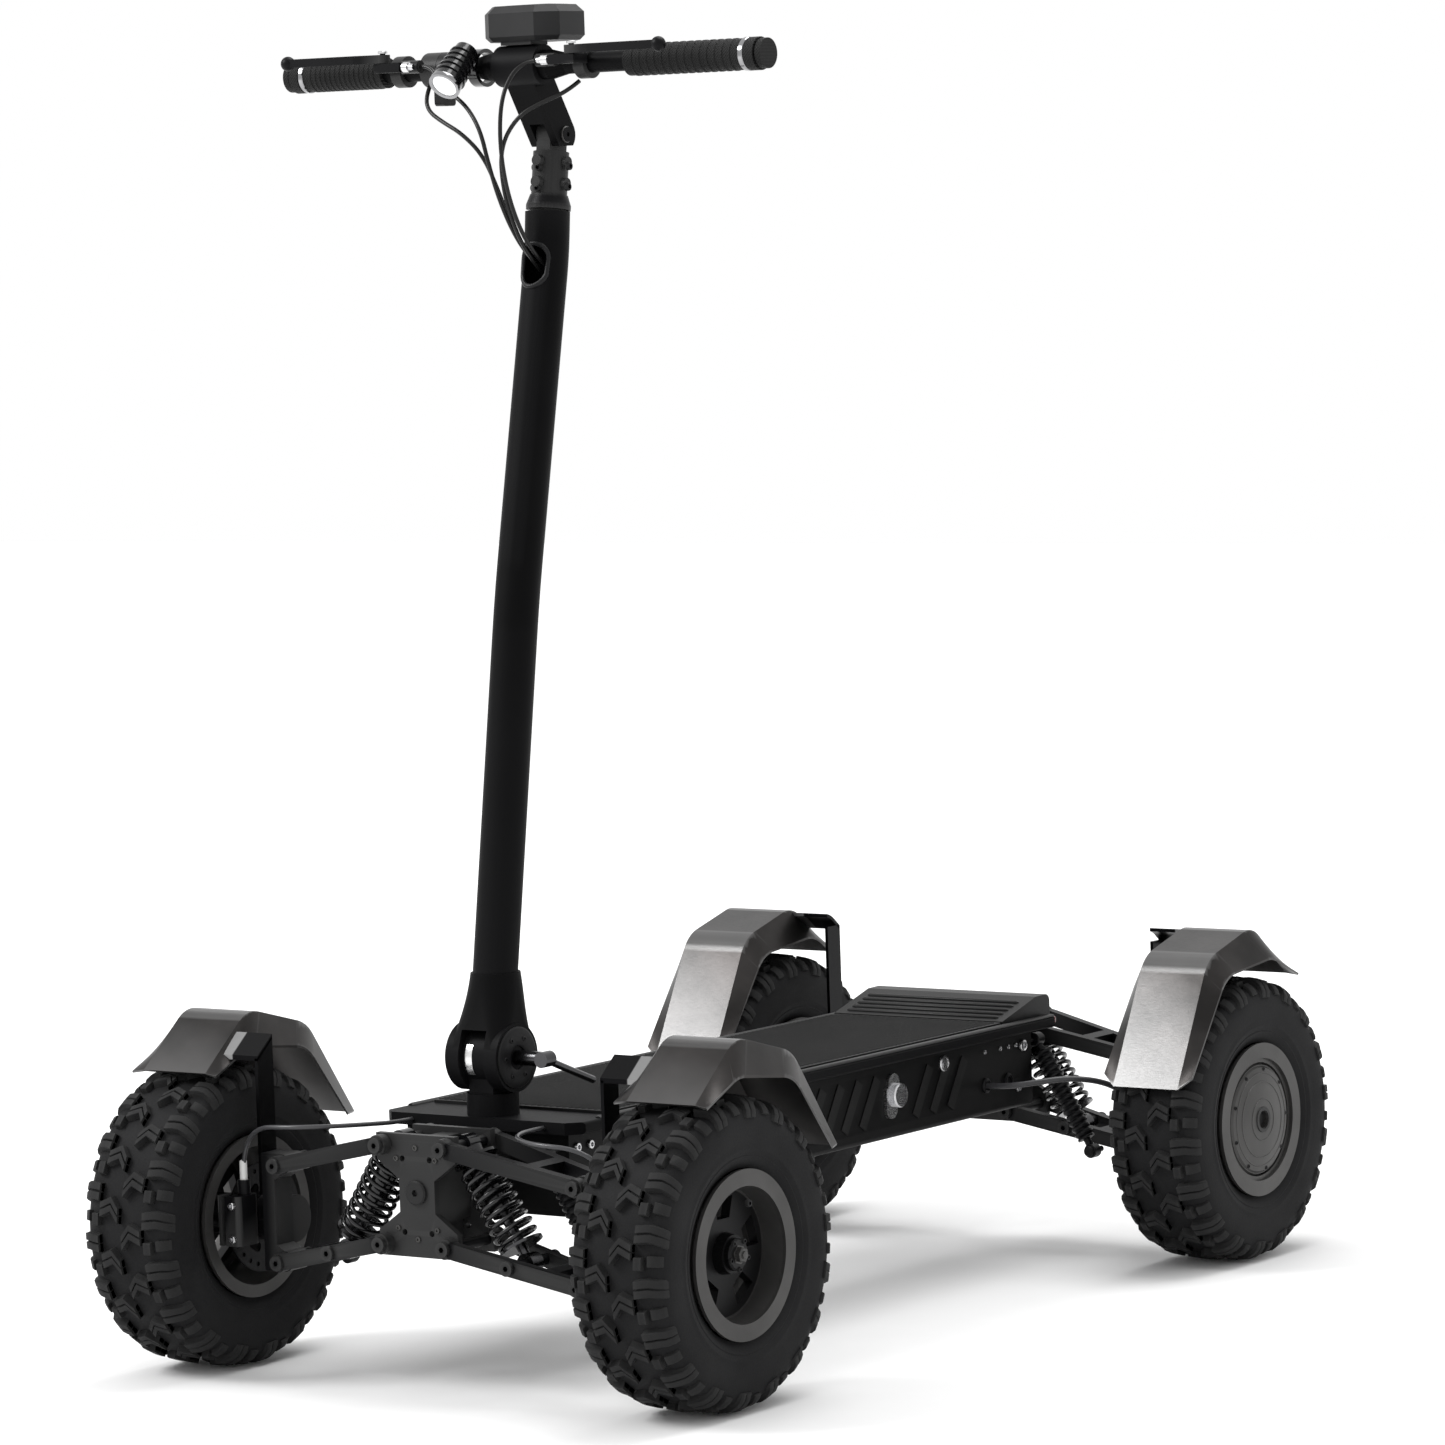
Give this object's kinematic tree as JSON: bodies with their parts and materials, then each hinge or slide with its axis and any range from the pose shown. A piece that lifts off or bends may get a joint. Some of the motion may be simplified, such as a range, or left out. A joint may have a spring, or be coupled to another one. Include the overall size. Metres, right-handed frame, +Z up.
{
  "type": "four-wheeled stand-on electric board",
  "caption": "Four-wheeled stand-on electric board: sprung wishbones on each wheel, fenders, a ribbed deck with a kick pad, and a folding stem with a straight handlebar.",
  "frame": {"origin": "on the ground, midway between the two axles and midway between the left and right wheels", "axes": "+Z up, front towards -Y, the rider's left towards +X"},
  "size_m": [0.7654, 1.3638, 1.4559],
  "materials": {
    "tyre_rubber": "matte",
    "rim_satin": "satin",
    "black_anodised": "satin",
    "brushed_dark": "brushed",
    "black_gloss": "gloss",
    "steel_rod": "polished",
    "spring_black": "gloss",
    "black_coat": "satin powder coat",
    "grip_rubber": "matte ribbed",
    "cell_wrap": "matte",
    "alloy_plain": "machined",
    "bright_metal": "polished",
    "display_plastic": "satin",
    "black_plastic": "satin",
    "lamp_shell": "satin",
    "cable_black": "satin"
  },
  "bodies": {
    "chassis": {"deck_plate": "black_coat", "deck_mat": "grip_rubber", "kick_pad": "grip_rubber", "battery_case": "black_coat", "battery_pack": "cell_wrap", "motor_controller": "alloy_plain", "charge_port": "bright_metal", "bulkheads": "black_anodised", "stem_base": "black_coat", "wheel_lines": "cable_black"},
    "stem": {"stem_housing": "black_coat", "stem_tube": "black_coat", "stem_post": "black_anodised"},
    "fold_lever": {"fold_lever": "steel_rod"},
    "bar": {"bar_head": "black_coat", "handlebar": "black_coat", "grips": "grip_rubber", "display": "display_plastic", "lever_perches": "black_anodised", "stem_cables": "cable_black"},
    "brake_lever_left": {"brake_lever_left": "black_anodised"},
    "brake_lever_right": {"brake_lever_right": "black_anodised"},
    "throttle_lever": {"throttle_lever": "black_plastic"},
    "headlight": {"headlight": "lamp_shell"},
    "wheel_front_left": {"tyre_front_left": "tyre_rubber", "wheel_rim_front_left": "rim_satin"},
    "knuckle_front_left": {"knuckle_front_left": "black_anodised", "fender_front_left": "brushed_dark"},
    "upper_arm_front_left": {"upper_arm_front_left": "black_anodised"},
    "lower_arm_front_left": {"lower_arm_front_left": "black_anodised"},
    "shock_body_front_left": {"shock_body_front_left": "black_gloss", "shock_spring_front_left": "spring_black"},
    "shock_rod_front_left": {"shock_rod_front_left": "steel_rod"},
    "wheel_front_right": {"tyre_front_right": "tyre_rubber", "wheel_rim_front_right": "rim_satin"},
    "knuckle_front_right": {"knuckle_front_right": "black_anodised", "fender_front_right": "brushed_dark"},
    "upper_arm_front_right": {"upper_arm_front_right": "black_anodised"},
    "lower_arm_front_right": {"lower_arm_front_right": "black_anodised"},
    "shock_body_front_right": {"shock_body_front_right": "black_gloss", "shock_spring_front_right": "spring_black"},
    "shock_rod_front_right": {"shock_rod_front_right": "steel_rod"},
    "wheel_rear_left": {"tyre_rear_left": "tyre_rubber", "wheel_rim_rear_left": "rim_satin"},
    "knuckle_rear_left": {"knuckle_rear_left": "black_anodised", "fender_rear_left": "brushed_dark"},
    "upper_arm_rear_left": {"upper_arm_rear_left": "black_anodised"},
    "lower_arm_rear_left": {"lower_arm_rear_left": "black_anodised"},
    "shock_body_rear_left": {"shock_body_rear_left": "black_gloss", "shock_spring_rear_left": "spring_black"},
    "shock_rod_rear_left": {"shock_rod_rear_left": "steel_rod"},
    "wheel_rear_right": {"tyre_rear_right": "tyre_rubber", "wheel_rim_rear_right": "rim_satin"},
    "knuckle_rear_right": {"knuckle_rear_right": "black_anodised", "fender_rear_right": "brushed_dark"},
    "upper_arm_rear_right": {"upper_arm_rear_right": "black_anodised"},
    "lower_arm_rear_right": {"lower_arm_rear_right": "black_anodised"},
    "shock_body_rear_right": {"shock_body_rear_right": "black_gloss", "shock_spring_rear_right": "spring_black"},
    "shock_rod_rear_right": {"shock_rod_rear_right": "steel_rod"}
  },
  "joints": [
    {"name": "stem_fold", "type": "hinge", "parent": "chassis", "child": "stem", "pos_m": [0, -0.44, 0.342], "axis": [1, 0, 0], "range_deg": [-70, 0]},
    {"name": "fold_lever_turn", "type": "hinge", "parent": "chassis", "child": "fold_lever", "pos_m": [0, -0.44, 0.342], "axis": [1, 0, 0], "range_deg": [0, 90]},
    {"name": "bar_tilt", "type": "hinge", "parent": "stem", "child": "bar", "pos_m": [0, -0.274, 1.318], "axis": [1, 0, 0], "range_deg": [-18, 12], "deforming": ["stem_cables"]},
    {"name": "brake_lever_left_pull", "type": "hinge", "parent": "bar", "child": "brake_lever_left", "pos_m": [0.088, -0.352, 1.406], "axis": [0, 0, 1], "range_deg": [0, 8], "stiffness_Nm_per_rad": 1, "springref_deg": -14.32},
    {"name": "brake_lever_right_pull", "type": "hinge", "parent": "bar", "child": "brake_lever_right", "pos_m": [-0.166, -0.352, 1.406], "axis": [0, 0, -1], "range_deg": [0, 8], "stiffness_Nm_per_rad": 1, "springref_deg": -14.32},
    {"name": "throttle_press", "type": "hinge", "parent": "bar", "child": "throttle_lever", "pos_m": [-0.0985, -0.32, 1.392], "axis": [1, 0, 0], "range_deg": [-30, 0], "stiffness_Nm_per_rad": 0.3, "springref_deg": 11.46},
    {"name": "headlight_tilt", "type": "hinge", "parent": "bar", "child": "headlight", "pos_m": [-0.056, -0.32, 1.392], "axis": [1, 0, 0], "range_deg": [-10, 12]},
    {"name": "lower_arm_front_left_swing", "type": "hinge", "parent": "chassis", "child": "lower_arm_front_left", "pos_m": [0.0425, -0.541, 0.159], "axis": [0, -1, 0], "range_deg": [-8, 8], "stiffness_Nm_per_rad": 500, "springref_deg": -1.15, "deforming": ["shock_spring_front_left", "wheel_lines"]},
    {"name": "upper_arm_front_left_swing", "type": "hinge", "parent": "chassis", "child": "upper_arm_front_left", "pos_m": [0.0425, -0.541, 0.264], "axis": [0, -1, 0], "range_deg": [-8, 8]},
    {"name": "knuckle_front_left_pivot", "type": "hinge", "parent": "lower_arm_front_left", "child": "knuckle_front_left", "pos_m": [0.1995, -0.541, 0.125], "axis": [0, -1, 0], "range_deg": [-8, 8]},
    {"name": "shock_body_front_left_swing", "type": "hinge", "parent": "chassis", "child": "shock_body_front_left", "pos_m": [0.0425, -0.541, 0.264], "axis": [0, -1, 0], "range_deg": [-8, 8]},
    {"name": "shock_rod_front_left_swing", "type": "hinge", "parent": "lower_arm_front_left", "child": "shock_rod_front_left", "pos_m": [0.1195, -0.541, 0.143], "axis": [0, -1, 0], "range_deg": [-8, 8]},
    {"name": "wheel_front_left_spin", "type": "hinge", "parent": "knuckle_front_left", "child": "wheel_front_left", "pos_m": [0.3235, -0.517, 0.165], "axis": [1, 0, 0], "continuous": true},
    {"name": "lower_arm_front_right_swing", "type": "hinge", "parent": "chassis", "child": "lower_arm_front_right", "pos_m": [-0.0425, -0.541, 0.159], "axis": [0, 1, 0], "range_deg": [-8, 8], "stiffness_Nm_per_rad": 500, "springref_deg": -1.15, "deforming": ["shock_spring_front_right", "wheel_lines"]},
    {"name": "upper_arm_front_right_swing", "type": "hinge", "parent": "chassis", "child": "upper_arm_front_right", "pos_m": [-0.0425, -0.541, 0.264], "axis": [0, 1, 0], "range_deg": [-8, 8]},
    {"name": "knuckle_front_right_pivot", "type": "hinge", "parent": "lower_arm_front_right", "child": "knuckle_front_right", "pos_m": [-0.1995, -0.541, 0.125], "axis": [0, 1, 0], "range_deg": [-8, 8]},
    {"name": "shock_body_front_right_swing", "type": "hinge", "parent": "chassis", "child": "shock_body_front_right", "pos_m": [-0.0425, -0.541, 0.264], "axis": [0, 1, 0], "range_deg": [-8, 8]},
    {"name": "shock_rod_front_right_swing", "type": "hinge", "parent": "lower_arm_front_right", "child": "shock_rod_front_right", "pos_m": [-0.1195, -0.541, 0.143], "axis": [0, 1, 0], "range_deg": [-8, 8]},
    {"name": "wheel_front_right_spin", "type": "hinge", "parent": "knuckle_front_right", "child": "wheel_front_right", "pos_m": [-0.3235, -0.517, 0.165], "axis": [1, 0, 0], "continuous": true},
    {"name": "lower_arm_rear_left_swing", "type": "hinge", "parent": "chassis", "child": "lower_arm_rear_left", "pos_m": [0.0425, 0.541, 0.159], "axis": [0, -1, 0], "range_deg": [-8, 8], "stiffness_Nm_per_rad": 500, "springref_deg": -1.15, "deforming": ["shock_spring_rear_left", "wheel_lines"]},
    {"name": "upper_arm_rear_left_swing", "type": "hinge", "parent": "chassis", "child": "upper_arm_rear_left", "pos_m": [0.0425, 0.541, 0.264], "axis": [0, -1, 0], "range_deg": [-8, 8]},
    {"name": "knuckle_rear_left_pivot", "type": "hinge", "parent": "lower_arm_rear_left", "child": "knuckle_rear_left", "pos_m": [0.1995, 0.541, 0.125], "axis": [0, -1, 0], "range_deg": [-8, 8]},
    {"name": "shock_body_rear_left_swing", "type": "hinge", "parent": "chassis", "child": "shock_body_rear_left", "pos_m": [0.0425, 0.541, 0.264], "axis": [0, -1, 0], "range_deg": [-8, 8]},
    {"name": "shock_rod_rear_left_swing", "type": "hinge", "parent": "lower_arm_rear_left", "child": "shock_rod_rear_left", "pos_m": [0.1195, 0.541, 0.143], "axis": [0, -1, 0], "range_deg": [-8, 8]},
    {"name": "wheel_rear_left_spin", "type": "hinge", "parent": "knuckle_rear_left", "child": "wheel_rear_left", "pos_m": [0.3235, 0.517, 0.165], "axis": [1, 0, 0], "continuous": true},
    {"name": "lower_arm_rear_right_swing", "type": "hinge", "parent": "chassis", "child": "lower_arm_rear_right", "pos_m": [-0.0425, 0.541, 0.159], "axis": [0, 1, 0], "range_deg": [-8, 8], "stiffness_Nm_per_rad": 500, "springref_deg": -1.15, "deforming": ["shock_spring_rear_right", "wheel_lines"]},
    {"name": "upper_arm_rear_right_swing", "type": "hinge", "parent": "chassis", "child": "upper_arm_rear_right", "pos_m": [-0.0425, 0.541, 0.264], "axis": [0, 1, 0], "range_deg": [-8, 8]},
    {"name": "knuckle_rear_right_pivot", "type": "hinge", "parent": "lower_arm_rear_right", "child": "knuckle_rear_right", "pos_m": [-0.1995, 0.541, 0.125], "axis": [0, 1, 0], "range_deg": [-8, 8]},
    {"name": "shock_body_rear_right_swing", "type": "hinge", "parent": "chassis", "child": "shock_body_rear_right", "pos_m": [-0.0425, 0.541, 0.264], "axis": [0, 1, 0], "range_deg": [-8, 8]},
    {"name": "shock_rod_rear_right_swing", "type": "hinge", "parent": "lower_arm_rear_right", "child": "shock_rod_rear_right", "pos_m": [-0.1195, 0.541, 0.143], "axis": [0, 1, 0], "range_deg": [-8, 8]},
    {"name": "wheel_rear_right_spin", "type": "hinge", "parent": "knuckle_rear_right", "child": "wheel_rear_right", "pos_m": [-0.3235, 0.517, 0.165], "axis": [1, 0, 0], "continuous": true}
  ],
  "couplings": [
    {"joint": "upper_arm_front_left_swing", "follows": "lower_arm_front_left_swing", "ratio": 1},
    {"joint": "knuckle_front_left_pivot", "follows": "lower_arm_front_left_swing", "ratio": -1},
    {"joint": "shock_body_front_left_swing", "follows": "lower_arm_front_left_swing", "ratio": 0.3825},
    {"joint": "shock_rod_front_left_swing", "follows": "lower_arm_front_left_swing", "ratio": -0.6175},
    {"joint": "upper_arm_front_right_swing", "follows": "lower_arm_front_right_swing", "ratio": 1},
    {"joint": "knuckle_front_right_pivot", "follows": "lower_arm_front_right_swing", "ratio": -1},
    {"joint": "shock_body_front_right_swing", "follows": "lower_arm_front_right_swing", "ratio": 0.3825},
    {"joint": "shock_rod_front_right_swing", "follows": "lower_arm_front_right_swing", "ratio": -0.6175},
    {"joint": "upper_arm_rear_left_swing", "follows": "lower_arm_rear_left_swing", "ratio": 1},
    {"joint": "knuckle_rear_left_pivot", "follows": "lower_arm_rear_left_swing", "ratio": -1},
    {"joint": "shock_body_rear_left_swing", "follows": "lower_arm_rear_left_swing", "ratio": 0.3825},
    {"joint": "shock_rod_rear_left_swing", "follows": "lower_arm_rear_left_swing", "ratio": -0.6175},
    {"joint": "upper_arm_rear_right_swing", "follows": "lower_arm_rear_right_swing", "ratio": 1},
    {"joint": "knuckle_rear_right_pivot", "follows": "lower_arm_rear_right_swing", "ratio": -1},
    {"joint": "shock_body_rear_right_swing", "follows": "lower_arm_rear_right_swing", "ratio": 0.3825},
    {"joint": "shock_rod_rear_right_swing", "follows": "lower_arm_rear_right_swing", "ratio": -0.6175}
  ]
}
